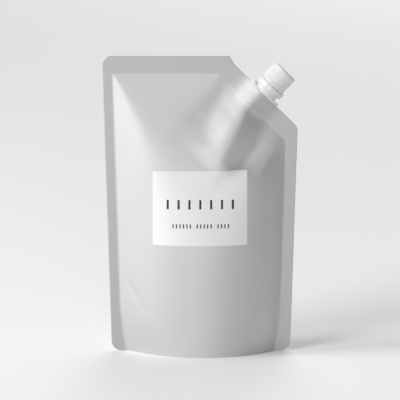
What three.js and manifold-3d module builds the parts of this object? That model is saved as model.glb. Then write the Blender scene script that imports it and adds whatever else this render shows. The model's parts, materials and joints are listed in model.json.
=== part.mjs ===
// Stand-up refill pouch for liquid hand soap. A film bag with a folded bottom gusset holds the soap, and a
// pouring spout with a screw cap is welded into one cut-off top corner.
// Millimetres, +Z up, the front faces -Y. The origin is the middle of the base, on the surface it stands on.
import * as THREE from 'three';
import { mergeVertices } from 'three/addons/utils/BufferGeometryUtils.js';
import Module from 'manifold-3d';

// ---- Driving dimensions: the film bag ----

const HEIGHT = 228.3;
const BASE_HALF_WIDTH = 68.7; // the full belly draws the sides in towards the base
const SIDE_FLARE = 0.027; // how much each side moves out for each millimetre up
const TOP_CORNER_RADIUS = 7;
const BASE_CORNER_RADIUS = 7.5;
const SHOULDER_BLEND = 2.4; // softens the corner between the cut-off corner and the right side
const FILM_STACK = 0.6; // the webs pressed together in a seal

const SEAL_LEFT = 7.6;
const SEAL_RIGHT = 8.6;
const SEAL_TOP = 14;
const SEAL_CUT = 13.5; // across the cut-off corner
const GUSSET_HEIGHT = 45; // the bottom web's fold reaches this far up the side seals
const GUSSET_SEAL_EXTRA = 4; // the side seals widen by this much towards the floor

const CUT_SUM = 247.2; // x + z along the cut-off corner's edge, which runs at 45 degrees
const CUT_TIP_HEIGHT = 221.9; // above this the corner's edge is cut steeper
const CUT_TIP_SLOPE = 0.6; // sideways run of the steep stretch for each millimetre up

const BELLY_DEPTH_BASE = 26; // front web's distance from the middle plane, at the base
const BELLY_TAPER = 0.025; // how much that falls for each millimetre up
const TOP_FACET_SLOPE = 0.265; // the flat facet that falls back to the top seal
const CUT_FACET_SLOPE = 0.3; // and the one that falls back to the cut-off corner's seal
const FACET_SHARPNESS = 7; // power of the soft minimum that joins the facets

const GROOVE_DEPTH = 3; // under the base, between the rim and the belly of the gusset
const RIM_SHARE = 0.96; // the rim starts at this share of the base's half depth
const GROOVE_SHARE = 0.84;
const BELLY_SHARE = 0.58; // inside this share the gusset's belly lies flat on the floor

// ---- Driving dimensions: the spout, along its own axis from the film's edge ----

const SPOUT_TILT = Math.PI / 4;
const SPOUT_X = 47.1;
const SPOUT_Z = CUT_SUM - SPOUT_X;
const GAP = 0.3; // room kept between pieces that touch

const INSERT_HALF_LENGTH = 17.6;
const INSERT_RADIUS = 6.6; // of its round middle, which tapers to a tip on each side
const INSERT_DEPTH = 12.2;
const INSERT_TOP = -0.3;
const INSERT_RIBS = 4;
const INSERT_RIB_HEIGHT = 0.4;
const FILM_OVER_INSERT = 0.8; // outside of the film, measured from the insert
const RIDGE = { length: 42, aside: 15, widening: 8, rise: 11, fall: 4 }; // film from insert to belly

const NECK_RADIUS = 7.3;
const BORE_RADIUS = 5.8;
const MOUTH = 21.6;
const LOWER_FLANGE = { halfLength: 14.5, halfWidth: 8.6, bottom: 0.3, top: 1.8 };
const UPPER_FLANGE = { radius: 10, bottom: 1.8, top: 4.3 };
const LOCKING_BEAD = { radius: 8.7, bottom: 6.7, top: 8.3 };

const BAND = { radius: 11.1, inner: 9.2, lip: 8.2, bottom: 4.8, top: 9.2 };
const TEAR_TAB = { inner: 11, radius: 12.3, halfAngle: 0.42, bottom: 5.5, top: 10.1 };
const BRIDGES = 8;
const BRIDGE_HEIGHT = 0.15;

const CAP = { bottom: 9.5, top: 24.7, radius: 10.6, inner: 8.75, ceiling: 23.3 };
const CAP_TAPER = 0.02; // radius lost for each millimetre up
const CAP_EDGE = 1.1; // rounding of the top edge
const GRIP = { ribs: 44, depth: 0.45, bottom: 10.9, top: 23.6 };
const PLUG = { radius: 5.5, inner: 4.5, bottom: 20.2 };

// ---- Driving dimensions: the label ----

const LABEL = { left: -36.6, right: 35, bottom: 86.4, top: 142.8, thickness: 0.3 };

// ---- Solids ----

const wasm = await Module();
wasm.setup();

function toSolid(geometry) {
  const plain = geometry.clone();
  plain.deleteAttribute('normal');
  plain.deleteAttribute('uv');
  const merged = mergeVertices(plain, 1e-4);
  return new wasm.Manifold(new wasm.Mesh({
    numProp: 3,
    vertProperties: new Float32Array(merged.attributes.position.array),
    triVerts: new Uint32Array(merged.index.array),
  }));
}

function toGeometry(solid) {
  const mesh = solid.getMesh();
  const geometry = new THREE.BufferGeometry();
  geometry.setAttribute('position', new THREE.BufferAttribute(mesh.vertProperties, 3));
  geometry.setIndex(new THREE.BufferAttribute(mesh.triVerts, 1));
  geometry.computeVertexNormals();
  return geometry;
}

// Closed surface through rings of points, each ring counter-clockwise seen from the end of the stack.
function loftGeometry(rings, capStart, capEnd) {
  const size = rings[0].length;
  const index = [];
  for (let row = 0; row < rings.length - 1; row += 1) {
    for (let step = 0; step < size; step += 1) {
      const next = (step + 1) % size;
      const low = row * size;
      const high = low + size;
      index.push(low + step, low + next, high + next);
      index.push(low + step, high + next, high + step);
    }
  }
  const extra = capStart(index, rings);
  capEnd(index, rings);
  const points = rings.flat().concat(extra);
  const geometry = new THREE.BufferGeometry().setFromPoints(points);
  geometry.setIndex(index);
  return geometry;
}

function fanStart(index, rings) {
  for (let step = 1; step < rings[0].length - 1; step += 1) index.push(0, step + 1, step);
  return [];
}

function fanEnd(index, rings) {
  const first = (rings.length - 1) * rings[0].length;
  for (let step = 1; step < rings[0].length - 1; step += 1) index.push(first, first + step, first + step + 1);
}

// Solid of revolution about +Z from [radius, height] corners that end on the axis or close on themselves.
function turned(corners, segments) {
  const profile = corners.map(([radius, height]) => new THREE.Vector2(radius, height));
  return toSolid(new THREE.LatheGeometry(profile, segments).rotateX(Math.PI / 2));
}

function extruded(shape, bottom, top) {
  const geometry = new THREE.ExtrudeGeometry(shape, { depth: top - bottom, bevelEnabled: false });
  return toSolid(geometry.translate(0, 0, bottom));
}

// ---- The film bag's form ----

function halfWidth(z) {
  return BASE_HALF_WIDTH + SIDE_FLARE * z;
}

function cornerInset(distance, radius) {
  if (distance >= radius) return 0;
  return radius - Math.sqrt(radius ** 2 - (radius - distance) ** 2);
}

function blendMin(a, b, width) {
  const share = Math.max(width - Math.abs(a - b), 0) / width;
  return Math.min(a, b) - share * share * width * 0.25;
}

function softMin(values) {
  const total = values.reduce((sum, value) => sum + Math.max(value, 1e-6) ** -FACET_SHARPNESS, 0);
  return total ** (-1 / FACET_SHARPNESS);
}

function outerLeft(z) {
  const rounding = cornerInset(z, BASE_CORNER_RADIUS) + cornerInset(HEIGHT - z, TOP_CORNER_RADIUS);
  return rounding - halfWidth(z);
}

function outerRight(z) {
  const side = halfWidth(z) - cornerInset(z, BASE_CORNER_RADIUS);
  const steep = CUT_SUM - CUT_TIP_HEIGHT - CUT_TIP_SLOPE * (z - CUT_TIP_HEIGHT);
  const cut = z > CUT_TIP_HEIGHT ? steep : CUT_SUM - z;
  return blendMin(side, cut, SHOULDER_BLEND);
}

function gussetWidening(z) {
  return GUSSET_SEAL_EXTRA * Math.max(1 - z / GUSSET_HEIGHT, 0) ** 2;
}

function innerLeft(z) {
  return SEAL_LEFT + gussetWidening(z) - halfWidth(z);
}

function innerRight(z) {
  const side = halfWidth(z) - SEAL_RIGHT - gussetWidening(z);
  return Math.min(side, CUT_SUM - SEAL_CUT * Math.SQRT2 - z);
}

// Depth of the circular arc that the filled belly takes between its side seals.
function bellyDepth(x, z) {
  const left = innerLeft(z);
  const right = halfWidth(z) - SEAL_RIGHT - gussetWidening(z);
  const reach = (right - left) / 2;
  const offset = Math.min(Math.abs(x - (left + right) / 2), reach);
  const sag = BELLY_DEPTH_BASE - BELLY_TAPER * z;
  const radius = (reach ** 2 + sag ** 2) / (2 * sag);
  return Math.sqrt(radius ** 2 - offset ** 2) - (radius - sag);
}

// Distance of the front web from the middle plane, without the film's own thickness.
function webDepth(x, z) {
  const toTop = HEIGHT - SEAL_TOP - z;
  const toCut = (CUT_SUM - x - z) / Math.SQRT2 - SEAL_CUT;
  if (toTop <= 0 || toCut <= 0) return 0;
  return softMin([TOP_FACET_SLOPE * toTop, CUT_FACET_SLOPE * toCut, bellyDepth(x, z)]);
}

// ---- The film bag ----

const BELLY_COLUMNS = 15;
const GUSSET_ROWS = 10;

function arcLevels(radius, steps) {
  return Array.from({ length: steps + 1 }, (_, k) => radius * (1 - Math.cos((Math.PI / 2) * (k / steps))));
}

function evenLevels(start, end, steps) {
  return Array.from({ length: steps + 1 }, (_, k) => start + ((end - start) * k) / steps);
}

function rowLevels() {
  const shoulder = (CUT_SUM - BASE_HALF_WIDTH) / (1 + SIDE_FLARE);
  const sealEdge = HEIGHT - SEAL_TOP;
  const top = arcLevels(TOP_CORNER_RADIUS, 4).map((level) => HEIGHT - level);
  const levels = [
    ...arcLevels(BASE_CORNER_RADIUS, 4),
    ...evenLevels(BASE_CORNER_RADIUS, shoulder - SHOULDER_BLEND / 2, 13),
    shoulder,
    ...evenLevels(shoulder + SHOULDER_BLEND / 2, sealEdge, 6),
    CUT_TIP_HEIGHT,
    ...top,
  ].sort((a, b) => a - b);
  return levels.filter((level, k) => k === 0 || level - levels[k - 1] > 0.25);
}

function columnPositions(z) {
  const inner = evenLevels(innerLeft(z), innerRight(z), BELLY_COLUMNS);
  return [outerLeft(z), ...inner, outerRight(z)];
}

function bagRing(z) {
  const columns = columnPositions(z);
  const last = columns.length - 1;
  const depths = columns.map((x, k) => (k < 2 || k > last - 2 ? 0 : webDepth(x, z)) + FILM_STACK / 2);
  const front = columns.map((x, k) => new THREE.Vector3(x, -depths[k], z));
  const back = columns.map((x, k) => new THREE.Vector3(x, depths[k], z)).reverse();
  return [...front, ...back];
}

// Height of the bottom web above the floor, at a share of the half depth from the middle out to the rim.
function gussetHeight(share, fade) {
  if (share > RIM_SHARE || share < BELLY_SHARE) return 0;
  const rising = (RIM_SHARE - share) / (RIM_SHARE - GROOVE_SHARE);
  const falling = (share - BELLY_SHARE) / (GROOVE_SHARE - BELLY_SHARE);
  return GROOVE_DEPTH * fade * THREE.MathUtils.smoothstep(Math.min(rising, falling), 0, 1);
}

// The bottom web closes the lowest ring: a rim, a groove inside it and a belly that lies on the floor.
function gussetCap(index, rings) {
  const ring = rings[0];
  const columns = ring.length / 2;
  const shares = [1, RIM_SHARE, 0.92, GROOVE_SHARE, 0.7, BELLY_SHARE];
  const across = [...shares.map((share) => -share), ...shares.reverse()];
  const extra = [];
  const firstExtra = rings.length * ring.length;
  const ids = [];
  for (let column = 0; column < columns; column += 1) {
    const front = ring[column];
    const backId = ring.length - 1 - column;
    const fade = 1 - THREE.MathUtils.smoothstep(Math.abs(front.x) / BASE_HALF_WIDTH, 0.55, 0.82);
    const open = column > 1 && column < columns - 2;
    ids.push(across.map((share, row) => {
      if (row === 0 || (!open && share < 0)) return column;
      if (row === across.length - 1 || !open) return backId;
      extra.push(new THREE.Vector3(front.x, -front.y * share, gussetHeight(Math.abs(share), fade)));
      return firstExtra + extra.length - 1;
    }));
  }
  for (let column = 0; column < columns - 1; column += 1) {
    for (let row = 0; row < across.length - 1; row += 1) {
      const corner = [ids[column][row], ids[column][row + 1], ids[column + 1][row + 1], ids[column + 1][row]];
      pushTriangle(index, corner[0], corner[1], corner[2]);
      pushTriangle(index, corner[0], corner[2], corner[3]);
    }
  }
  return extra;
}

function pushTriangle(index, a, b, c) {
  if (a !== b && b !== c && c !== a) index.push(a, b, c);
}

function topCap(index, rings) {
  const size = rings[0].length;
  const first = (rings.length - 1) * size;
  for (let column = 0; column < size / 2 - 1; column += 1) {
    const back = first + size - 1 - column;
    index.push(first + column, first + column + 1, back - 1);
    index.push(first + column, back - 1, back);
  }
}

// Outline of the weld insert: a round middle whose tangents run out to a blunt tip on each side.
function insertShape(halfLength, radius) {
  const blunt = 0.5;
  const lean = Math.asin((radius - blunt) / halfLength);
  const shape = new THREE.Shape();
  shape.moveTo(halfLength, -blunt);
  shape.lineTo(halfLength, blunt);
  shape.absarc(0, 0, radius, Math.PI / 2 - lean, Math.PI / 2 + lean, false);
  shape.lineTo(-halfLength, blunt);
  shape.lineTo(-halfLength, -blunt);
  shape.absarc(0, 0, radius, -Math.PI / 2 - lean, -Math.PI / 2 + lean, false);
  return shape;
}

function insertExtrusion(offset, bottom, top) {
  const shape = insertShape(INSERT_HALF_LENGTH + 2 * offset, INSERT_RADIUS + offset);
  const geometry = new THREE.ExtrudeGeometry(shape, {
    depth: top - bottom,
    bevelEnabled: false,
    curveSegments: 6,
  });
  return geometry.translate(0, 0, bottom);
}

// The film spans from the insert down into the belly as a ridge on each web.
function ridgeGeometry() {
  const rings = [];
  const steps = 4;
  for (let step = steps; step >= 0; step -= 1) {
    const t = step / steps;
    const shape = insertShape(
      INSERT_HALF_LENGTH + 2 * FILM_OVER_INSERT + RIDGE.widening * t,
      INSERT_RADIUS + FILM_OVER_INSERT + RIDGE.rise * t - RIDGE.fall * t * t,
    );
    const along = 1 - INSERT_DEPTH - RIDGE.length * t;
    const aside = RIDGE.aside * t * t;
    rings.push(shape.getPoints(6).map((point) => new THREE.Vector3(point.x + aside, point.y, along)));
  }
  return loftGeometry(rings, fanStart, fanEnd);
}

function placeOnSpoutAxis(geometry) {
  return geometry.rotateY(SPOUT_TILT).translate(SPOUT_X, 0, SPOUT_Z);
}

function pouchGeometry() {
  const bag = toSolid(loftGeometry(rowLevels().map(bagRing), gussetCap, topCap));
  const sleeve = toSolid(placeOnSpoutAxis(insertExtrusion(FILM_OVER_INSERT, -INSERT_DEPTH - 1.6, 0)));
  const ridge = toSolid(placeOnSpoutAxis(ridgeGeometry()));
  const pocket = toSolid(placeOnSpoutAxis(insertExtrusion(GAP, -INSERT_DEPTH - GAP, 4)));
  return toGeometry(bag.add(ridge).add(sleeve).subtract(pocket));
}

// ---- The label ----

function labelGeometry() {
  const rows = evenLevels(LABEL.bottom, LABEL.top, 5);
  const columns = evenLevels(LABEL.left, LABEL.right, 10);
  const rings = rows.map((z) => {
    const depth = (x) => webDepth(x, z) + FILM_STACK / 2 + GAP;
    const outside = columns.map((x) => new THREE.Vector3(x, -depth(x) - LABEL.thickness, z));
    const inside = columns.map((x) => new THREE.Vector3(x, -depth(x), z)).reverse();
    return [...outside, ...inside];
  });
  return loftGeometry(rings, stripStart, topCap);
}

function stripStart(index, rings) {
  const size = rings[0].length;
  for (let column = 0; column < size / 2 - 1; column += 1) {
    const back = size - 1 - column;
    index.push(column, back - 1, column + 1);
    index.push(column, back, back - 1);
  }
  return [];
}

// ---- The spout ----

function insertSolid() {
  const pitch = (INSERT_DEPTH + INSERT_TOP) / (2 * INSERT_RIBS + 1);
  const core = toSolid(insertExtrusion(-INSERT_RIB_HEIGHT, -INSERT_DEPTH, INSERT_TOP));
  const ribs = Array.from({ length: INSERT_RIBS }, (_, k) => {
    const bottom = -INSERT_DEPTH + (2 * k + 1) * pitch;
    return toSolid(insertExtrusion(0, bottom, bottom + pitch));
  });
  return ribs.reduce((solid, rib) => solid.add(rib), core);
}

function lowerFlange() {
  const shape = new THREE.Shape();
  const run = LOWER_FLANGE.halfLength - LOWER_FLANGE.halfWidth;
  shape.absarc(run, 0, LOWER_FLANGE.halfWidth, -Math.PI / 2, Math.PI / 2, false);
  shape.absarc(-run, 0, LOWER_FLANGE.halfWidth, Math.PI / 2, (3 * Math.PI) / 2, false);
  return extruded(shape, LOWER_FLANGE.bottom, LOWER_FLANGE.top);
}

function spoutGeometry() {
  const foot = NECK_RADIUS - 1; // the neck's core runs down through the insert
  const neck = turned([
    [0, -INSERT_DEPTH + 1],
    [foot, -INSERT_DEPTH + 1],
    [foot, 0],
    [NECK_RADIUS, 0.6],
    [NECK_RADIUS, UPPER_FLANGE.bottom],
    [UPPER_FLANGE.radius - 0.3, UPPER_FLANGE.bottom],
    [UPPER_FLANGE.radius, UPPER_FLANGE.bottom + 0.4],
    [UPPER_FLANGE.radius, UPPER_FLANGE.top],
    [NECK_RADIUS, UPPER_FLANGE.top],
    [NECK_RADIUS, LOCKING_BEAD.bottom],
    [LOCKING_BEAD.radius, LOCKING_BEAD.bottom],
    [NECK_RADIUS, LOCKING_BEAD.top],
    [NECK_RADIUS, MOUTH - 0.6],
    [NECK_RADIUS - 0.6, MOUTH],
    [0, MOUTH],
  ], 32);
  const bore = turned([
    [0, -INSERT_DEPTH - 1],
    [BORE_RADIUS, -INSERT_DEPTH - 1],
    [BORE_RADIUS, MOUTH + 1],
    [0, MOUTH + 1],
  ], 32);
  return toGeometry(insertSolid().add(lowerFlange()).add(neck).subtract(bore));
}

// ---- The tamper band ----

// The tab that is gripped to tear the band off stands beside the foot of the cap.
function tearTab() {
  const shape = new THREE.Shape();
  shape.absarc(0, 0, TEAR_TAB.radius, -TEAR_TAB.halfAngle, TEAR_TAB.halfAngle, false);
  shape.absarc(0, 0, TEAR_TAB.inner, TEAR_TAB.halfAngle, -TEAR_TAB.halfAngle, true);
  shape.closePath();
  return extruded(shape, TEAR_TAB.bottom, TEAR_TAB.top);
}

function tamperBandGeometry() {
  const lipTop = BAND.bottom + 0.9;
  const ring = turned([
    [BAND.lip, BAND.bottom],
    [BAND.radius - 0.4, BAND.bottom],
    [BAND.radius, BAND.bottom + 0.5],
    [BAND.radius, BAND.top - 0.7],
    [BAND.radius - 0.6, BAND.top],
    [BAND.inner, BAND.top],
    [BAND.inner, lipTop + 1],
    [BAND.lip, lipTop],
    [BAND.lip, BAND.bottom],
  ], 40);
  const solid = Array.from({ length: BRIDGES }).reduce((sum, _, k) => {
    const bridge = new THREE.BoxGeometry(1, 1.2, 1 + BRIDGE_HEIGHT);
    const height = BAND.top + BRIDGE_HEIGHT - bridge.parameters.depth / 2;
    bridge.translate((BAND.inner + CAP.radius) / 2 - 0.2, 0, height);
    bridge.rotateZ((2 * Math.PI * k) / BRIDGES);
    return sum.add(toSolid(bridge));
  }, ring);
  return toGeometry(solid.add(tearTab()));
}

// ---- The cap ----

// Closed outline of the grip: one trapezoid rib after another around the cap.
function gripShape() {
  const points = [];
  const crest = CAP.radius;
  const valley = CAP.radius - GRIP.depth;
  const corners = [[0.06, valley], [0.34, crest], [0.66, crest], [0.94, valley]];
  for (let rib = 0; rib < GRIP.ribs; rib += 1) {
    corners.forEach(([share, radius]) => {
      const angle = (2 * Math.PI * (rib + share)) / GRIP.ribs;
      points.push(new THREE.Vector2(radius * Math.cos(angle), radius * Math.sin(angle)));
    });
  }
  return new THREE.Shape(points);
}

function taperedGrip() {
  const depth = GRIP.top - GRIP.bottom;
  const geometry = new THREE.ExtrudeGeometry(gripShape(), { depth, bevelEnabled: false });
  geometry.translate(0, 0, GRIP.bottom);
  const position = geometry.attributes.position;
  for (let k = 0; k < position.count; k += 1) {
    const shrink = 1 - (CAP_TAPER * (position.getZ(k) - CAP.bottom)) / CAP.radius;
    position.setX(k, position.getX(k) * shrink);
    position.setY(k, position.getY(k) * shrink);
  }
  return toSolid(geometry);
}

function capGeometry() {
  const wallRadius = (height) => CAP.radius - CAP_TAPER * (height - CAP.bottom);
  const valley = (height) => wallRadius(height) - GRIP.depth - 0.05;
  const crown = valley(CAP.top) - CAP_EDGE;
  const edge = evenLevels(0, Math.PI / 2, 3).map((angle) => [
    crown + CAP_EDGE * Math.cos(angle),
    CAP.top - CAP_EDGE + CAP_EDGE * Math.sin(angle),
  ]);
  const body = turned([
    [0, CAP.bottom],
    [wallRadius(CAP.bottom), CAP.bottom],
    [wallRadius(GRIP.bottom), GRIP.bottom + 0.2],
    [valley(GRIP.bottom), GRIP.bottom + 0.2],
    ...edge,
    [0, CAP.top],
  ], 44);
  const hollow = turned([
    [0, CAP.bottom - 1],
    [CAP.inner + 0.3, CAP.bottom - 1],
    [CAP.inner, CAP.bottom + 0.5],
    [CAP.inner, CAP.ceiling],
    [PLUG.radius, CAP.ceiling],
    [PLUG.radius - 0.3, PLUG.bottom],
    [PLUG.inner, PLUG.bottom],
    [PLUG.inner, CAP.ceiling],
    [0, CAP.ceiling],
  ], 32);
  return toGeometry(body.add(taperedGrip()).subtract(hollow));
}

// ---- Scene graph ----

const film = new THREE.MeshStandardMaterial({ color: 0xb4b4b4, roughness: 0.46, metalness: 0 });
const paper = new THREE.MeshStandardMaterial({ color: 0xf0f0f0, roughness: 0.7, metalness: 0 });
const plastic = new THREE.MeshStandardMaterial({ color: 0xf2f2f2, roughness: 0.4, metalness: 0 });

function named(name, geometry, material) {
  const mesh = new THREE.Mesh(geometry, material);
  mesh.name = name;
  return mesh;
}

const closure = new THREE.Group();
closure.position.set(SPOUT_X, 0, SPOUT_Z);
closure.rotation.y = SPOUT_TILT;
closure.add(
  named('spout', spoutGeometry(), plastic),
  named('tamper_band', tamperBandGeometry(), plastic),
  named('cap', capGeometry(), plastic),
);

const pack = new THREE.Group();
pack.add(
  named('pouch', pouchGeometry(), film),
  named('label', labelGeometry(), paper),
  closure,
);

export default pack;
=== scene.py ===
"""Looks of a stand-up soap refill pouch with a welded corner spout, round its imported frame."""

import json
import logging
import math
from collections.abc import Callable
from dataclasses import dataclass
from enum import Enum

import bpy
import numpy as np
from mathutils import Matrix, Vector

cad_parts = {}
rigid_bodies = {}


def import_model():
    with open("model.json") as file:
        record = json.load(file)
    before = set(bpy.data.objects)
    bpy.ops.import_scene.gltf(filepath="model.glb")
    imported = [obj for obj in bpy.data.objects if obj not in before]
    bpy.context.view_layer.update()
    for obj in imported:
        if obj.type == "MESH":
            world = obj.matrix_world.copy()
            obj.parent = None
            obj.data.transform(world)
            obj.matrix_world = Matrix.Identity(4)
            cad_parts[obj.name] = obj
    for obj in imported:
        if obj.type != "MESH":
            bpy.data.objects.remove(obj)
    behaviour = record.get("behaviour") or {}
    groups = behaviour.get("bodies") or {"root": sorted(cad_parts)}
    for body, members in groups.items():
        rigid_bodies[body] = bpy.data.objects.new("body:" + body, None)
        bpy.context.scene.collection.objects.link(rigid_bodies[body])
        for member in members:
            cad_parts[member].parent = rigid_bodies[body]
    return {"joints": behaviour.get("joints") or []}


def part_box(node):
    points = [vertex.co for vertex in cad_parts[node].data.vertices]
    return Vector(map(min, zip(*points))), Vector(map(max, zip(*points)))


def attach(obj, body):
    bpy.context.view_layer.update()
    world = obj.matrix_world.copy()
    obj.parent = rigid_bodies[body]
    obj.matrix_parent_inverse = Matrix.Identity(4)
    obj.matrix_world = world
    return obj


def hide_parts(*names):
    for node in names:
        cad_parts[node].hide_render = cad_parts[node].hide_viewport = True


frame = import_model()

LOG = logging.getLogger("refill_pouch")
MM = 0.001
WELD = 0.001 * MM
THREAD_PITCH = 3.0
THREAD_STEPS = 72
THREAD_RUN_OUT = 6
ROOT2 = math.sqrt(2.0)


# ---- Operators and points ----


def deselect_all() -> None:
    """Leave nothing selected, so that an operator acts only on what is chosen next."""
    for item in bpy.data.objects:
        item.select_set(False)
    bpy.context.view_layer.objects.active = None


def choose(*pieces: bpy.types.Object) -> None:
    """Select only these objects and make the first one active.

    Args:
        pieces: the objects to work on.
    """
    deselect_all()
    for piece in pieces:
        piece.select_set(True)
    bpy.context.view_layer.objects.active = pieces[0]


def points_of(piece: bpy.types.Object) -> np.ndarray:
    """Read the vertices of a mesh.

    Args:
        piece: the mesh object.

    Returns:
        One row of x, y and z for each vertex.
    """
    flat = np.zeros(len(piece.data.vertices) * 3)
    piece.data.vertices.foreach_get("co", flat)
    return flat.reshape(-1, 3)


def move_points(piece: bpy.types.Object, points: np.ndarray) -> None:
    """Put the vertices of a mesh at new places, one row of x, y and z each."""
    piece.data.vertices.foreach_set("co", np.ascontiguousarray(points, dtype=float).ravel())
    piece.data.update()


def new_grid(
    name: str, columns: int, rows: int
) -> tuple[bpy.types.Object, np.ndarray, np.ndarray]:
    """Add a flat grid that is shaped afterwards.

    Args:
        name: the object's name.
        columns: faces across.
        rows: faces up.

    Returns:
        The grid, one unit wide and high with its lower left corner at the origin, then the column
        and the row of each of its vertices, counted from that corner.
    """
    deselect_all()
    bpy.ops.mesh.primitive_grid_add(
        x_subdivisions=columns, y_subdivisions=rows, size=1, location=(0, 0, 0)
    )
    grid = bpy.context.object
    grid.name = name
    grid.data.name = name
    points = points_of(grid)
    points[:, :2] += 0.5
    move_points(grid, points)
    across, up, _ = points_of(grid).T
    return grid, np.rint(across * columns).astype(int), np.rint(up * rows).astype(int)


def join(pieces: list[bpy.types.Object]) -> bpy.types.Object:
    """Join meshes into the first one and leave their vertices apart.

    Args:
        pieces: the meshes, the one that stays first.

    Returns:
        The joined object.
    """
    choose(*pieces)
    bpy.ops.object.join()
    return pieces[0]


def weld(piece: bpy.types.Object, merge: float, close: bool = False) -> None:
    """Weld the vertices that coincide and turn the faces outwards.

    Args:
        piece: the mesh object.
        merge: distance within which vertices are welded.
        close: whether the open ends are closed with a face first.
    """
    choose(piece)
    bpy.ops.object.mode_set(mode="EDIT")
    bpy.ops.mesh.select_all(action="SELECT")
    bpy.ops.mesh.remove_doubles(threshold=merge)
    if close:
        bpy.ops.mesh.select_all(action="DESELECT")
        bpy.ops.mesh.select_non_manifold(extend=False)
        bpy.ops.mesh.edge_face_add()
        bpy.ops.mesh.select_all(action="SELECT")
    bpy.ops.mesh.normals_make_consistent(inside=False)
    bpy.ops.mesh.select_all(action="DESELECT")
    bpy.ops.object.mode_set(mode="OBJECT")


def smooth(piece: bpy.types.Object, angle: float) -> None:
    """Shade a mesh smooth, but for the edges sharper than an angle in degrees."""
    choose(piece)
    bpy.ops.object.shade_smooth_by_angle(angle=math.radians(angle))


def polar(points: np.ndarray) -> tuple[np.ndarray, np.ndarray]:
    """Distance from the z axis in millimetres, and angle round it, of each vertex."""
    return np.hypot(points[:, 0], points[:, 1]) / MM, np.arctan2(points[:, 1], points[:, 0])


def wind(piece: bpy.types.Object, radius: np.ndarray, turn: np.ndarray, height: np.ndarray) -> None:
    """Bend a grid round z and close it.

    Args:
        piece: the grid.
        radius: distance of each vertex from the axis, in millimetres like the height.
        turn: its angle round the axis, in radians.
        height: its height.
    """
    place = np.stack([radius * np.cos(turn), radius * np.sin(turn), height], axis=1)
    move_points(piece, place * MM)
    weld(piece, WELD, close=True)


def smoothstep(low: float, high: float, value: np.ndarray) -> np.ndarray:
    """Rise from 0 at low to 1 at high without a corner."""
    share = np.clip((value - low) / (high - low), 0.0, 1.0)
    return share * share * (3.0 - 2.0 * share)


# ---- Shader expressions ----


def operator(operation: str, first: bool = True) -> Callable[["Value", "Value | float"], "Value"]:
    """Make the method behind a Python operator, with the value as the first or the last operand."""
    return lambda value, other: value.math(operation, other, first=first)


def feed(tree: bpy.types.NodeTree, socket: bpy.types.NodeSocket, value: object) -> None:
    """Link an input to a value's socket, or set it to a number or a colour."""
    if isinstance(value, Value):
        tree.links.new(value.socket, socket)
    else:
        socket.default_value = value


class Value:
    """A shader socket that takes part in Python arithmetic. A comparison gives 1 or 0."""

    def __init__(self, tree: bpy.types.NodeTree, socket: bpy.types.NodeSocket) -> None:
        """Wrap a socket of a node tree."""
        self.tree = tree
        self.socket = socket

    def math(self, operation: str, *others: "Value | float", first: bool = True) -> "Value":
        """Add a Math node.

        Args:
            operation: the Math node's operation.
            others: the other operands.
            first: whether this value is the first operand.

        Returns:
            The node's result.
        """
        node = self.tree.nodes.new("ShaderNodeMath")
        node.operation = operation
        operands = [self, *others] if first else [*others, self]
        for socket, operand in zip(node.inputs, operands):
            feed(self.tree, socket, operand)
        return Value(self.tree, node.outputs[0])

    __add__ = __radd__ = operator("ADD")
    __sub__, __rsub__ = operator("SUBTRACT"), operator("SUBTRACT", first=False)
    __mul__ = __rmul__ = operator("MULTIPLY")
    __truediv__ = operator("DIVIDE")
    __gt__, __lt__ = operator("GREATER_THAN"), operator("LESS_THAN")

    def sine(self) -> "Value":
        """Sine of an angle in radians."""
        return self.math("SINE")

    def fraction(self) -> "Value":
        """Part after the point."""
        return self.math("FRACT")

    def within(self, low: float, high: float) -> "Value":
        """1 between two limits."""
        return (self > low) * (self < high)

    def ramp(self, low: float, high: float) -> "Value":
        """Rise from 0 at low to 1 at high without a corner, and stay there."""
        share = ((self - low) / (high - low)).math("MAXIMUM", 0.0).math("MINIMUM", 1.0)
        return share * share * (3.0 - 2.0 * share)


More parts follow.
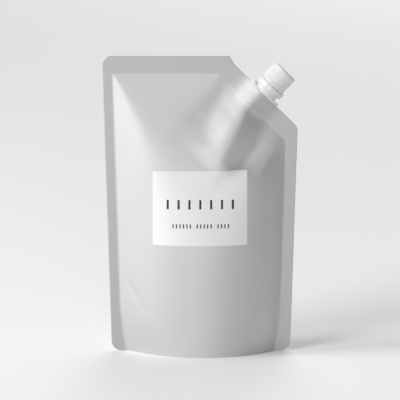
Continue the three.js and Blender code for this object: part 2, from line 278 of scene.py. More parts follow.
class Shader:
    """A material's node tree with one Principled shader."""

    def __init__(self, name: str) -> None:
        """Start an empty material.

        Args:
            name: the material's name.
        """
        self.material = bpy.data.materials.new(name)
        self.material.use_nodes = True
        self.tree = self.material.node_tree
        self.principled = self.tree.nodes["Principled BSDF"]

    def node(self, kind: str, settings: dict, sockets: dict) -> bpy.types.Node:
        """Add a node.

        Args:
            kind: the node's type.
            settings: its properties, set first.
            sockets: values or links for its inputs, by name or number.

        Returns:
            The node.
        """
        node = self.tree.nodes.new(kind)
        for key, setting in settings.items():
            setattr(node, key, setting)
        for key, value in sockets.items():
            feed(self.tree, node.inputs[key], value)
        return node

    def value(self, socket: bpy.types.NodeSocket) -> Value:
        """Wrap one of this tree's sockets."""
        return Value(self.tree, socket)

    def place(self, output: str = "Object") -> tuple[Value, Value, Value, Value]:
        """Coordinates on the piece.

        Args:
            output: the Texture Coordinate output to read.

        Returns:
            The vector, then its x, y and z.
        """
        vector = self.value(self.node("ShaderNodeTexCoord", {}, {}).outputs[output])
        parts = self.node("ShaderNodeSeparateXYZ", {}, {0: vector}).outputs
        return vector, self.value(parts[0]), self.value(parts[1]), self.value(parts[2])

    def noise(self, vector: Value, scale: float, detail: float = 2.0) -> Value:
        """Smooth noise around 0.5, with so many bumps for each metre and finer layers on them."""
        sockets = {"Vector": vector, "Scale": scale, "Detail": detail}
        return self.value(self.node("ShaderNodeTexNoise", {}, sockets).outputs[0])

    def mix(self, share: Value, low: "Value | tuple", high: "Value | tuple") -> Value:
        """Blend two colours, by the share of the second one."""
        node = self.node("ShaderNodeMix", {"data_type": "RGBA"}, {0: share, 6: low, 7: high})
        return self.value(node.outputs[2])

    def bump(self, height: Value, distance: float) -> None:
        """Give the surface a relief of 0 to 1, and the depth in metres of a full step."""
        node = self.node("ShaderNodeBump", {}, {"Height": height, "Distance": distance})
        self.tree.links.new(node.outputs[0], self.principled.inputs["Normal"])

    def set(self, **sockets: "Value | float | tuple") -> None:
        """Set the Principled shader's inputs by name, with _ for a space."""
        for key, value in sockets.items():
            feed(self.tree, self.principled.inputs[key.replace("_", " ")], value)


def grey(level: float) -> tuple[float, float, float, float]:
    """Neutral opaque colour of one level."""
    return (level, level, level, 1.0)


def dress(piece: bpy.types.Object, material: bpy.types.Material) -> None:
    """Give a piece one material."""
    piece.data.materials.clear()
    piece.data.materials.append(material)


# ---- The film bag's form ----


@dataclass(frozen=True)
class Track:
    """A size that changes smoothly between given places, without overshoot."""

    places: tuple[float, ...]
    sizes: tuple[float, ...]

    def at(self, place: np.ndarray) -> np.ndarray:
        """Read the size.

        Args:
            place: where, held between the first and the last place.

        Returns:
            The sizes there.
        """
        x, y = np.array(self.places), np.array(self.sizes)
        step, rise = np.diff(x), np.diff(y) / np.diff(x)
        slope = np.zeros(len(x))
        slope[0], slope[-1] = rise[0], rise[-1]
        for k in range(1, len(x) - 1):
            if rise[k - 1] * rise[k] > 0:
                near, far = 2 * step[k] + step[k - 1], step[k] + 2 * step[k - 1]
                slope[k] = (near + far) / (near / rise[k - 1] + far / rise[k])
        held = np.clip(place, x[0], x[-1])
        k = np.clip(np.searchsorted(x, held, side="right") - 1, 0, len(x) - 2)
        t = (held - x[k]) / step[k]
        start = (1 + 2 * t) * (1 - t) ** 2 * y[k] + t * (1 - t) ** 2 * step[k] * slope[k]
        end = t**2 * (3 - 2 * t) * y[k + 1] + t**2 * (t - 1) * step[k] * slope[k + 1]
        return start + end


@dataclass(frozen=True)
class Dent:
    """A soft dent or swelling of the film, in millimetres along and aside of the spout's axis."""

    depth: float
    along: float
    length: float
    aside: float
    width: float

    def at(self, along: np.ndarray, aside: np.ndarray) -> np.ndarray:
        """Depth of the dent at a place."""
        across = (aside - self.aside) / self.width
        down = (along - self.along) / self.length
        return self.depth * np.exp(-(across**2) - down**2)


@dataclass(frozen=True)
class BagForm:
    """Outline and bulge of the film bag, in millimetres. Its webs mirror each other in y = 0."""

    height: float
    spout_x: float
    spout_z: float
    base_half_width: float = 68.7
    flare: float = 0.027
    top_corner: float = 7.0
    base_corner: float = 7.5
    shoulder_blend: float = 2.4
    tip_height: float = 221.9
    tip_slope: float = 0.6
    seal_left: float = 7.6
    seal_right: float = 8.6
    seal_top: float = 14.0
    seal_cut: float = 13.5
    gusset_height: float = 45.0
    gusset_extra: float = 4.0
    gusset_crease: float = 0.4
    crease_middle: tuple[float, float] = (48.5, 43.0)
    crease_width: float = 2.8
    sag: Track = Track((0, 40, 80, 120, 160, 205), (25.8, 25.24, 24.8, 23.8, 22.97, 20.8))
    top_slope: float = 0.25
    top_bend: float = 0.0001
    top_twist: float = -0.001
    cut_slope: Track = Track(
        (-40, -26, -14, 0, 24, 34, 46), (0.234, 0.198, 0.288, 0.599, 0.244, 0.341, 0.481)
    )
    cut_bend: float = -0.0004
    cut_lift: float = 0.0113
    cut_lift_from: float = 32.0
    left_slope: Track = Track((20, 60, 100, 140, 180, 214), (0.67, 0.66, 0.63, 0.61, 0.57, 0.48))
    left_bend: float = 0.0035
    right_slope: Track = Track((20, 60, 100, 130, 165), (1.22, 1.2, 1.04, 0.86, 0.37))
    right_bend: float = 0.0031
    least_slope: float = 0.05
    crease: Track = Track((40, 100, 150, 205), (6.6, 6.7, 6.6, 6.2))
    ridge_depth: Track = Track((-76, -58, -42, -26, -12, -1), (5.09, 15.05, 13.11, 9.97, 6.7, 7.05))
    ridge_crest: Track = Track(
        (-76, -58, -42, -26, -12, -1), (18.38, 11.59, 6.88, 2.53, -1.3, -0.95)
    )
    ridge_left: Track = Track((-72, -50, -30, -12, -1), (0.187, 0.726, 0.659, 0.431, 0.46))
    ridge_right: Track = Track((-72, -50, -30, -12, -1), (0.255, 0.845, 0.772, 0.494, 0.47))
    ridge_round: Track = Track((-70, -34, -12, -1), (7.93, 5.49, 1.0, 1.15))
    valley: Track = Track((-70, -40, -12, -1), (7.13, 5.95, 2.58, 1.7))
    dents: tuple[Dent, ...] = (
        Dent(2.2, -19.8, 21.0, -15.5, 10.6),
        Dent(-0.41, -42.6, 18.1, 18.0, 7.0),
        Dent(-1.3, -22.3, 19.5, -12.7, 5.7),
        Dent(0.77, -42.9, 14.4, 33.2, 10.9),
    )
    dents_from: float = 120.0
    dents_full: float = 150.0
    dents_depth: float = 5.0

    @property
    def cut_sum(self) -> float:
        """x + z along the edge of the cut-off corner."""
        return self.spout_x + self.spout_z

    def half_width(self, z: np.ndarray) -> np.ndarray:
        """Distance of the straight sides from the middle at a height."""
        return self.base_half_width + self.flare * z

    @staticmethod
    def corner_inset(distance: np.ndarray, radius: float) -> np.ndarray:
        """How far a rounded corner draws the side in, at a distance from the side's end."""
        run = np.clip(radius - distance, 0.0, radius)
        return radius - np.sqrt(radius**2 - run**2)

    def outer_left(self, z: np.ndarray) -> np.ndarray:
        """Left edge of the film at a height."""
        rounding = self.corner_inset(z, self.base_corner)
        rounding = rounding + self.corner_inset(self.height - z, self.top_corner)
        return rounding - self.half_width(z)

    def outer_right(self, z: np.ndarray) -> np.ndarray:
        """Right edge of the film at a height, down the cut-off corner and the side."""
        side = self.half_width(z) - self.corner_inset(z, self.base_corner)
        steep = self.cut_sum - self.tip_height - self.tip_slope * (z - self.tip_height)
        cut = np.where(z > self.tip_height, steep, self.cut_sum - z)
        share = np.maximum(self.shoulder_blend - np.abs(side - cut), 0.0) / self.shoulder_blend
        return np.minimum(side, cut) - share**2 * self.shoulder_blend * 0.25

    def widening(self, z: np.ndarray) -> np.ndarray:
        """How much wider the side seals are beside the gusset."""
        return self.gusset_extra * np.maximum(1.0 - z / self.gusset_height, 0.0) ** 2

    def inner_left(self, z: np.ndarray) -> np.ndarray:
        """Inner edge of the left seal."""
        return self.seal_left + self.widening(z) - self.half_width(z)

    def inner_side(self, z: np.ndarray) -> np.ndarray:
        """Inner edge of the right seal, if it ran on to the top."""
        return self.half_width(z) - self.seal_right - self.widening(z)

    def inner_right(self, z: np.ndarray) -> np.ndarray:
        """Inner edge of the right seal and of the cut-off corner's seal."""
        return np.minimum(self.inner_side(z), self.cut_sum - self.seal_cut * ROOT2 - z)

    def belly(self, x: np.ndarray, z: np.ndarray) -> np.ndarray:
        """Depth of the arc that the filled film takes between its side seals."""
        left, right = self.inner_left(z), self.inner_side(z)
        reach = (right - left) / 2
        offset = np.minimum(np.abs(x - (left + right) / 2), reach)
        sag = self.sag.at(z)
        radius = (reach**2 + sag**2) / (2 * sag)
        return np.sqrt(radius**2 - offset**2) - (radius - sag)

    def spout_axes(self, x: np.ndarray, z: np.ndarray) -> tuple[np.ndarray, np.ndarray]:
        """Place in the spout's own directions.

        Args:
            x: place across the bag.
            z: height.

        Returns:
            Distance along the spout's axis, outwards from the film's edge, and aside from it.
        """
        across, up = x - self.spout_x, z - self.spout_z
        return (across + up) / ROOT2, (across - up) / ROOT2

    def ridge(self, along: np.ndarray, aside: np.ndarray) -> np.ndarray:
        """Depth of the fold that runs from the spout's insert into the belly."""
        offset = aside - self.ridge_crest.at(along)
        round_ = self.ridge_round.at(along)
        slope = np.where(offset < 0, self.ridge_left.at(along), self.ridge_right.at(along))
        end = 0.5 * np.maximum(self.ridge_depth.places[0] - along, 0.0)
        fall = np.sqrt((slope * offset) ** 2 + round_**2) - round_
        return self.ridge_depth.at(along) - end - fall

    def gusset_line(self, x: np.ndarray, z: np.ndarray) -> np.ndarray:
        """Shallow crease in each lower corner, over the edge of the bottom web's corner seal."""
        away, up = np.abs(x) - self.crease_middle[0], z - self.crease_middle[1]
        off, run = 0.84 * away - 0.55 * up, 0.55 * away + 0.84 * up
        fade = smoothstep(20.0, 8.0, np.abs(run))
        return self.gusset_crease * np.exp(-((off / self.crease_width) ** 2)) * fade

    def facets(self, x: np.ndarray, z: np.ndarray) -> np.ndarray:
        """Depth of the tent that the film makes between its seals and its belly."""
        along, aside = self.spout_axes(x, z)
        to_top, to_cut = self.height - self.seal_top - z, -along - self.seal_cut
        to_left, to_right = x - self.inner_left(z), self.inner_side(z) - x
        top = to_top * (self.top_slope - self.top_bend * to_top / 2 + self.top_twist * (x + 20) / 2)
        cut = to_cut * (self.cut_slope.at(aside) - self.cut_bend * to_cut / 2)
        cut = cut + self.cut_lift * np.maximum(to_cut - self.cut_lift_from, 0.0) ** 2
        left = self.left_slope.at(z) + self.left_bend * to_left
        left = to_left * np.maximum(left, self.least_slope)
        right = self.right_slope.at(z) + self.right_bend * to_right
        right = to_right * np.maximum(right, self.least_slope)
        power = self.crease.at(z)
        depths = [top, cut, self.belly(x, z), left, right]
        total = sum(np.maximum(depth, 1e-4) ** -power for depth in depths)
        inside = (to_top > 0) & (to_cut > 0) & (to_left > 0) & (to_right > 0)
        tent = np.where(inside, total ** (-1.0 / power), 0.0)
        dents = sum(dent.at(along, aside) for dent in self.dents)
        dents = dents * smoothstep(self.dents_from, self.dents_full, z) + self.gusset_line(x, z)
        return np.maximum(tent - dents * np.clip(tent / self.dents_depth, 0.0, 1.0), 0.0)

    def depth(self, x: np.ndarray, z: np.ndarray) -> np.ndarray:
        """Distance of the front film from the plane y = 0, without its thickness.

        Args:
            x: place across the bag.
            z: height.

        Returns:
            The depth, 0 on the seals.
        """
        along, aside = self.spout_axes(x, z)
        tent, ridge = self.facets(x, z), self.ridge(along, aside)
        width = self.valley.at(along)
        share = np.maximum(width - np.abs(tent - ridge), 0.0) / width
        return np.maximum(np.maximum(tent, ridge) + share**2 * width / 4, 0.0)

    def sealed(self, x: np.ndarray, z: np.ndarray) -> np.ndarray:
        """Share of sealed film: 1 on the seals and over the spout's insert, 0 on the belly."""
        along, _ = self.spout_axes(x, z)
        gap = np.minimum(x - self.inner_left(z), self.inner_side(z) - x)
        gap = np.minimum(gap, np.minimum(self.height - self.seal_top - z, -along - self.seal_cut))
        return 1 - smoothstep(-0.8, 0.4, gap)


# ---- The film bag ----


class Side(Enum):
    """Which web of the bag: the value is the way it faces along y."""

    FRONT = -1.0
    BACK = 1.0


@dataclass
class Pouch:
    """The film bag: two webs sealed round their edges, and the folded bottom web between them."""

    form: BagForm
    film: float = 0.4
    unevenness: float = 0.07
    seal_columns: int = 10
    belly_columns: int = 108
    cut_columns: int = 22
    rows: int = 214
    corner_rows: int = 9
    recess: float = 4.2
    clearance: float = 0.12

    def levels(self) -> np.ndarray:
        """Heights of the grid's rows, closer at the rounded corners and the seals' edges."""
        form = self.form
        rounding = 1 - np.cos(np.linspace(0, math.pi / 2, self.corner_rows))
        low = form.base_corner * rounding
        high = form.height - form.top_corner * rounding[::-1]
        seal_edge = form.height - form.seal_top
        middle = np.linspace(form.base_corner, seal_edge, self.rows - 22)[1:]
        rest = np.linspace(seal_edge, form.height - form.top_corner, 8)[1:-1]
        return np.concatenate([low, middle, rest, high])

    def columns(self, z: float) -> np.ndarray:
        """Places of the grid's columns at one height."""
        form = self.form
        height = np.array(z)
        left, inner_left = form.outer_left(height), form.inner_left(height)
        inner_right, right = form.inner_right(height), form.outer_right(height)
        edge = np.array([0.0, 0.12, 0.35])
        seal = np.linspace(left + 0.8, inner_left, self.seal_columns - 3)
        belly = np.linspace(inner_left, inner_right, self.belly_columns + 1)[1:]
        cut = np.linspace(inner_right, right - 0.8, self.cut_columns - 2)[1:]
        return np.concatenate([left + edge, seal, belly, cut, (right - edge)[::-1]])

    def slack(self, x: np.ndarray, z: np.ndarray, depth: np.ndarray, side: Side) -> np.ndarray:
        """Slight unevenness of the unsealed film, different on the two webs."""
        wave = np.sin(x / 9.0 + 1.3 * side.value + 0.8 * np.sin(z / 13.0))
        wave = wave * np.sin(z / 11.0 + 0.7 * side.value)
        ripple = np.sin((x - z) / 5.5 + side.value) * np.sin((x + z) / 7.0)
        return self.unevenness * (wave + 0.4 * ripple) * smoothstep(2.0, 12.0, depth)

    def web(self, name: str, side: Side) -> bpy.types.Object:
        """Make one web of film.

        Args:
            name: the object's name.
            side: which web.

        Returns:
            The web's outer face, closed to the plane y = 0 along its edges.
        """
        levels = self.levels()
        table = np.array([self.columns(z) for z in levels])
        rows, columns = table.shape
        grid, column, row = new_grid(name, columns - 1, rows - 1)
        x, z = table[row, column], levels[row]
        skin = np.full(len(row), self.film / 2)
        for k, share in ((0, 0.0), (1, 0.75)):
            skin[(column == k) | (column == columns - 1 - k) | (row == rows - 1 - k)] *= share
        depth = self.form.depth(x, z)
        depth = depth + self.slack(x, z, depth, side) * smoothstep(0.0, 20.0, z)
        y = side.value * (np.where(skin > 0, depth, 0.0) + skin)
        move_points(grid, np.stack([x, y, z], axis=1) * MM)
        seal = grid.data.attributes.new("seal", "FLOAT", "POINT")
        seal.data.foreach_set("value", self.form.sealed(x, z))
        return grid

    def gusset(self) -> bpy.types.Object:
        """Make the bottom web: a rim, a recess inside it and a belly that rests on the floor."""
        x = self.columns(0.0)
        columns = len(x)
        shares = np.array([0.0, 0.25, 0.6, 1.0, 1.2, 1.6, 2.4])
        rise = np.array([0.0, 0.0, 0.0, 0.06, 0.35, 0.8, 1.0])
        inner = np.linspace(0.12, 1.0, 12)[1:]
        steps = len(shares) + len(inner)
        rows = 2 * steps - 1
        grid, column, row = new_grid("gusset_web", columns - 1, rows - 1)
        mirrored = row >= steps
        step = np.where(mirrored, rows - 1 - row, row)
        skin = np.full(columns, self.film / 2)
        skin[[0, -1]] = 0.0
        skin[[1, -2]] *= 0.75
        reach = (np.where(skin > 0, self.form.depth(x, np.zeros(columns)), 0.0) + skin)[column]
        opening = smoothstep(1.5, 9.0, reach)
        rim = np.minimum(0.5, reach * 0.2)
        on_rim = np.minimum(step, len(shares) - 1)
        share = np.concatenate([np.zeros(len(shares)), inner])[step]
        near = reach - shares[on_rim] * rim
        far = (reach - shares[-1] * rim) * (1 - share)
        recess = self.recess * opening
        y = np.where(step < len(shares), near, far)
        belly = recess * (1 - smoothstep(0.12, 0.5, share)) + self.clearance * opening
        z = np.where(step < len(shares), recess * rise[on_rim], belly)
        move_points(grid, np.stack([x[column], np.where(mirrored, y, -y), z], axis=1) * MM)
        return grid

    def build(self) -> bpy.types.Object:
        """Join the webs and the gusset into the closed bag."""
        webs = [self.web("pouch_film", Side.FRONT), self.web("back_web", Side.BACK)]
        bag = join([*webs, self.gusset()])
        weld(bag, 0.01 * MM)
        smooth(bag, 50)
        return bag


@dataclass(frozen=True)
class FilmFinish:
    """Satin grey laminate film, a little darker where it is sealed, with painted light and shade on
    the crimp ribs over the insert.
    """

    form: BagForm
    level: float = 0.62
    seal_level: float = 0.505
    # Colour of the crimp rib tops: a painted highlight, lighter than the seal colour in the grooves
    # between them.
    rib_painted_highlight_level: float = 0.54
    metallic: float = 0.9
    roughness: float = 0.56
    crimp_near: float = -7.8
    crimp_far: float = -11.9
    crimp_edge: float = 0.3
    crimp_reach: float = 17.2
    crimp_full: float = -3.0
    crimp_gone: float = 1.0
    crimp_pitch: float = 1.9
    relief: float = 0.06 * MM

    def crimp(self, shader: Shader, x: Value, z: Value) -> Value:
        """Short ribs pressed into the film round the spout's insert, for their relief and for their
        painted light and shade.
        """
        form = self.form
        along = (x + z) * (1 / (ROOT2 * MM)) - form.cut_sum / ROOT2
        aside = (x - z) * (1 / (ROOT2 * MM)) - (form.spout_x - form.spout_z) / ROOT2
        wave = (aside * (2 * math.pi / self.crimp_pitch)).sine() * 0.5 + 0.5
        low, high = self.crimp_far, self.crimp_near
        inside = along.ramp(low - self.crimp_edge, low) * along.ramp(high, high - self.crimp_edge)
        sides = (aside > -self.crimp_reach) * aside.ramp(self.crimp_gone, self.crimp_full)
        return wave * inside * sides

    def make(self) -> bpy.types.Material:
        """Build the material."""
        shader = Shader("satin_film")
        vector, x, _, z = shader.place()
        cloud = shader.noise(vector, 18.0, 3.0)
        grain = shader.noise(vector, 2600.0, 2.0)
        seal_map = shader.node("ShaderNodeAttribute", {"attribute_name": "seal"}, {})
        sealed = shader.value(seal_map.outputs["Fac"])
        film = shader.mix(cloud, grey(self.level * 0.985), grey(self.level * 1.015))
        crimp = self.crimp(shader, x, z)
        # Painted light and shade of the crimp ribs: their tops lighter than the grooves, on top of
        # the ribs' bump relief.
        seal = shader.mix(crimp, grey(self.seal_level), grey(self.rib_painted_highlight_level))
        shader.set(
            Base_Color=shader.mix(sealed, film, seal),
            Roughness=cloud * 0.04 + (self.roughness - 0.02),
            Metallic=self.metallic,
            IOR=1.5,
        )
        shader.bump(grain * 0.15 + crimp, self.relief)
        return shader.material


# ---- The label ----


@dataclass
class Label:
    """White paper label on the front."""

    form: BagForm
    left: float = -36.6
    right: float = 35.0
    bottom: float = 86.4
    top: float = 142.8
    lift: float = 0.3
    thickness: float = 0.14
    columns: int = 60
    rows: int = 48

    def build(self) -> bpy.types.Object:
        """Lay a fine grid on the bag and give it the paper's thickness."""
        sheet, _, _ = new_grid("label_paper", self.columns, self.rows)
        points = points_of(sheet)
        x = self.left + (self.right - self.left) * points[:, 0]
        z = self.bottom + (self.top - self.bottom) * points[:, 1]
        y = -(self.form.depth(x, z) + self.lift)
        move_points(sheet, np.stack([x, y, z], axis=1) * MM)
        choose(sheet)
        solidify = sheet.modifiers.new("paper", "SOLIDIFY")
        solidify.thickness = self.thickness * MM
        solidify.offset = 1.0
        bpy.ops.object.modifier_apply(modifier=solidify.name)
        smooth(sheet, 40)
        return sheet


@dataclass(frozen=True)
class PaperFinish:
    """Matte coated paper with plain marks in place of print."""

    level: float = 0.775
    ink: float = 0.02
    large: tuple[float, float] = (0.149, 0.866)
    large_rows: tuple[float, float] = (0.495, 0.62)
    large_pitch: float = 0.1145
    small: tuple[float, float] = (0.21, 0.82)
    small_rows: tuple[float, float] = (0.24, 0.297)
    small_pitch: float = 0.0365
    spaces: tuple[tuple[float, float], ...] = ((0.425, 0.465), (0.625, 0.665))

    def make(self) -> bpy.types.Material:
        """Build the material."""
        shader = Shader("label_paper")
        vector, _, _, _ = shader.place()
        _, u, v, _ = shader.place("UV")
        marks = u.within(*self.large) * v.within(*self.large_rows)
        bars = ((u - self.large[0]) / self.large_pitch).fraction() < 0.2
        small = u.within(*self.small) * v.within(*self.small_rows)
        stripes = ((u - self.small[0]) / self.small_pitch).fraction() < 0.36
        gaps = u.within(*self.spaces[0]) + u.within(*self.spaces[1])
        ink = marks * bars + small * stripes * (1.0 - gaps)
        fibre = shader.noise(vector, 900.0, 3.0)
        paper = shader.mix(fibre, grey(self.level * 0.985), grey(self.level))
        shader.set(Base_Color=shader.mix(ink, paper, grey(self.ink)), Roughness=0.62, IOR=1.45)
        shader.bump(fibre, 0.02 * MM)
        return shader.material


# ---- The closure: spout, tamper band and cap ----


@dataclass(frozen=True)
class Axis:
    """Where the spout's axis meets the film's edge, and which way it points."""

    origin: Vector
    direction: Vector

    def stand(self, piece: bpy.types.Object) -> None:
        """Tilt a mesh built upright round z to the spout's axis and move it there.

        Args:
            piece: the mesh object.
        """
        side = Vector((0.0, 1.0, 0.0))
        turn = Matrix((side.cross(self.direction), side, self.direction)).transposed()
        piece.data.transform(Matrix.Translation(self.origin) @ turn.to_4x4())
        piece.data.update()


def turned(name: str, sides: int, profile: list[tuple[float, float]]) -> bpy.types.Object:
    """Turn a closed profile round z, one extruded ring for each corner.

    Args:
        name: the object's name.
        sides: flats round the axis.
        profile: radius and height of each corner in millimetres; the last ring joins the first,
            and a radius of 0 at an end closes the piece on the axis.

    Returns:
        The turned piece.
    """
    open_ends = profile[0][0] == 0.0
    rings = profile[1:-1] if open_ends else [*profile, profile[0]]
    radius, height = rings[0]
    deselect_all()
    bpy.ops.mesh.primitive_circle_add(
        vertices=sides, radius=radius * MM, location=(0, 0, height * MM)
    )
    piece = bpy.context.object
    piece.name = name
    piece.data.name = name
    bpy.ops.object.transform_apply(location=True, rotation=False, scale=False)
    bpy.ops.object.mode_set(mode="EDIT")
    bpy.ops.mesh.select_mode(type="VERT")
    bpy.ops.mesh.select_all(action="SELECT")
    for (old, low), (new, high) in zip(rings, rings[1:]):
        step = {"value": (0.0, 0.0, (high - low) * MM)}
        bpy.ops.mesh.extrude_region_move(TRANSFORM_OT_translate=step)
        if new != old:
            share, middle = new / old, (0.0, 0.0, high * MM)
            bpy.ops.transform.resize(value=(share, share, 1.0), center_override=middle)
    if open_ends:
        bpy.ops.mesh.edge_face_add()
        bpy.ops.mesh.select_all(action="DESELECT")
        bpy.ops.mesh.select_non_manifold(extend=False)
        bpy.ops.mesh.edge_face_add()
    bpy.ops.object.mode_set(mode="OBJECT")
    weld(piece, WELD)
    return piece


def arc(middle: tuple[float, float], radius: float, start: float, end: float, steps: int) -> list:
    """Corners along a round edge.

    Args:
        middle: radius and height of the arc's middle.
        radius: of the arc.
        start: first angle in degrees, 0 pointing away from the axis.
        end: last angle.
        steps: pieces of the arc.

    Returns:
        Radius and height of each corner.
    """
    turns = [math.radians(start + (end - start) * k / steps) for k in range(steps + 1)]
    return [(middle[0] + radius * math.cos(t), middle[1] + radius * math.sin(t)) for t in turns]


def thread(name: str, root: float, crest: float, low: float, high: float) -> bpy.types.Object:
    """Wind a screw thread whose ends run out into the wall it stands on.

    Args:
        name: the object's name.
        root: radius inside the wall, in millimetres like the rest.
        crest: radius of the thread's flat top.
        low: height where it starts.
        high: height where it ends.

    Returns:
        The closed thread.
    """
    turns = (high - low) / THREAD_PITCH
    steps = round(turns * THREAD_STEPS)
    ridge, column, row = new_grid(name, steps, 4)
    share, corner = column / steps, row % 4
    taper = np.clip(np.minimum(share, 1 - share) * turns * THREAD_RUN_OUT, 0.0, 1.0)
    radius = np.where((corner == 1) | (corner == 2), root + (crest - root) * taper, root)
    half = np.array([0.62, 0.3, -0.3, -0.62])[corner] * np.maximum(taper, 0.05)
    turn = share * turns * 2 * math.pi
    wind(ridge, radius, turn, low + share * (high - low) + half)
    return ridge


@dataclass
class Spout:
    """The welded spout: an insert between the webs, two flanges, a bead and a threaded neck."""

    neck: float = 7.3
    bore: float = 5.8
    mouth: float = 21.6
    bead: float = 8.7
    flange: float = 10.0
    insert_depth: float = 12.2
    insert_half_length: float = 16.4
    insert_radius: float = 4.6
    insert_ribs: int = 9
    insert_groove: float = 0.94
    foot_bore: float = 6.2
    wall: float = 1.0
    lip: float = 0.45
    base_half: tuple[float, float] = (14.5, 8.6)
    sharpness: int = 5
    screw: tuple[float, float, float] = (8.25, 12.6, 19.4)
    sides: int = 96

    def tube(self) -> bpy.types.Object:
        """Turn the neck with its flange, locking bead and rounded mouth."""
        profile = [(self.bore, -self.insert_depth), (self.foot_bore, -self.insert_depth)]
        profile += [(self.foot_bore, 0.2), (self.neck, 0.4), (self.neck, 1.6), (self.flange, 1.75)]
        profile += [*arc((self.flange - 0.3, 4.4), 0.3, 0, 90, 5), (self.neck + 0.3, 4.7)]
        profile += [(self.neck, 4.9), (self.neck, 6.5)]
        profile += [(self.bead - 0.2, 6.75), (self.bead, 6.95), (self.bead - 0.1, 7.3)]
        profile += [(self.neck + 0.1, 8.3), (self.neck, 8.6)]
        profile += arc((self.neck - self.lip, self.mouth - self.lip), self.lip, 0, 90, 5)
        profile += arc((self.bore + 0.3, self.mouth - 0.3), 0.3, 90, 180, 4)
        return turned("spout_body", self.sides, profile)

    def plate(
        self, name: str, half: tuple[float, float], low: float, high: float
    ) -> bpy.types.Object:
        """Extrude a boat-shaped plate round the neck.

        Args:
            name: the object's name.
            half: half its length and half its width.
            low: height of its lower face.
            high: height of its upper face.

        Returns:
            The plate, with a hole the size of the bore.
        """
        edge = 0.25
        outline = [(1.0, low), (1.0, low + 0.001), (1.0, high - edge), (1.0 - edge / half[0], high)]
        ring = [(self.bore + 0.1, low), *[(half[0] * share, z) for share, z in outline]]
        plate = turned(name, self.sides, [*ring, (self.bore + 0.1, high)])
        points = points_of(plate)
        reach, turn = polar(points)
        shape = half[1] + (half[0] - half[1]) * np.abs(np.cos(turn)) ** self.sharpness
        outside = reach > self.bore + self.wall
        points[:, :2] *= np.where(outside, shape / half[0], 1.0)[:, None]
        move_points(plate, points)
        return plate

    def insert(self) -> bpy.types.Object:
        """Extrude the welded insert with its ribs."""
        low, high = -self.insert_depth, -0.3
        profile = [(self.bore + 0.1, low)]
        step = (high - low) / self.insert_ribs
        for k in range(self.insert_ribs):
            half = self.insert_half_length * (1.0 if k % 2 == 0 else self.insert_groove)
            profile += [(half, low + k * step), (half, low + (k + 1) * step - 0.05)]
        profile += [(self.bore + 0.1, high)]
        body = turned("insert", self.sides, profile)
        points = points_of(body)
        reach, turn = polar(np.abs(points))
        lean = math.acos(self.insert_radius / self.insert_half_length)
        lens = self.insert_radius / np.cos(np.maximum(lean - turn, 0.0))
        outside = reach > self.bore + self.wall
        points[:, :2] *= np.where(outside, lens / self.insert_half_length, 1.0)[:, None]
        move_points(body, points)
        return body

    def build(self) -> bpy.types.Object:
        """Join the neck, its thread, the plate and the insert."""
        screw = thread("neck_thread", self.neck - 0.2, *self.screw)
        plate = self.plate("plate", self.base_half, 0.12, 1.8)
        body = join([self.tube(), screw, plate, self.insert()])
        smooth(body, 35)
        return body


@dataclass
class TamperBand:
    """The ring that stays on the neck once the cap is opened, with its bridges and its tab."""

    radius: float = 11.1
    inner: float = 9.2
    lip: float = 8.2
    low: float = 4.8
    high: float = 9.2
    collar: float = 10.2
    collar_top: float = 9.28
    tab_radius: float = 12.3
    tab_low: float = 5.5
    tab_high: float = 10.1
    tab_half_angle: float = 0.42
    bridges: int = 8
    bridge_place: tuple[float, float] = (9.7, -0.09)
    bridge_size: tuple[float, float, float] = (0.7, 1.0, 0.2)
    bridge_taper: float = 0.6
    sides: int = 128

    def ring(self) -> bpy.types.Object:
        """Turn the ring, with the lip that catches under the neck's locking bead."""
        edge = 0.3
        profile = [(self.lip + 0.1, self.low), (self.lip, self.low + 0.2)]
        profile += [(self.lip, self.low + 0.6), (self.inner - 0.2, self.low + 1.2)]
        profile += [(self.inner, self.low + 1.5)]
        profile += [(self.inner, self.collar_top), (self.collar, self.collar_top)]
        profile += [(self.collar, self.high)]
        profile += arc((self.radius - edge, self.high - edge), edge, 90, 0, 5)
        profile += arc((self.radius - edge, self.low + edge), edge, 0, -90, 5)
        return turned("tamper_ring", self.sides, profile)

    def bridge(self, turn: float) -> bpy.types.Object:
        """Model one small tapered bridge.

        Args:
            turn: its place round the ring, in radians.

        Returns:
            The bridge.
        """
        deselect_all()
        bpy.ops.mesh.primitive_cube_add(size=1.0, location=(0, 0, 0))
        bridge = bpy.context.object
        bridge.name = "bridge"
        across, aside, up = points_of(bridge).T * np.array(self.bridge_size)[:, None]
        narrow = np.where(up > 0, self.bridge_taper, 1.0)
        radial = self.bridge_place[0] + across * narrow
        aside = aside * narrow
        height = self.collar_top + self.bridge_place[1] + up
        x = radial * math.cos(turn) - aside * math.sin(turn)
        y = radial * math.sin(turn) + aside * math.cos(turn)
        move_points(bridge, np.stack([x, y, height], axis=1) * MM)
        return bridge

    def tab(self) -> bpy.types.Object:
        """Bend a block round the ring to make the tab by which it is torn off."""
        columns, corners = 24, 8
        edge = 0.3
        deep, out = self.inner + 1.2, self.tab_radius
        section = [(deep, self.tab_low), (out - edge, self.tab_low), (out, self.tab_low + edge)]
        section += [(out, self.tab_high - edge), (out - edge, self.tab_high)]
        section += [(self.radius + 0.2, self.tab_high), (self.radius - 0.1, self.high - 0.1)]
        section += [(deep, self.high - 0.1)]
        tab, column, row = new_grid("tear_tab", columns, corners)
        share = column / columns * 2 - 1
        radius, height = np.array(section)[row % corners].T
        thin = np.sqrt(np.maximum(1 - np.abs(share) ** 6, 0.0))
        radius = deep + (radius - deep) * (0.5 + 0.5 * thin)
        wind(tab, radius, share * self.tab_half_angle, height)
        return tab

    def build(self) -> bpy.types.Object:
        """Join the ring, its bridges and its tab."""
        turns = [2 * math.pi * (k + 0.5) / self.bridges for k in range(self.bridges)]
        band = join([self.ring(), self.tab(), *[self.bridge(turn) for turn in turns]])
        smooth(band, 40)
        return band


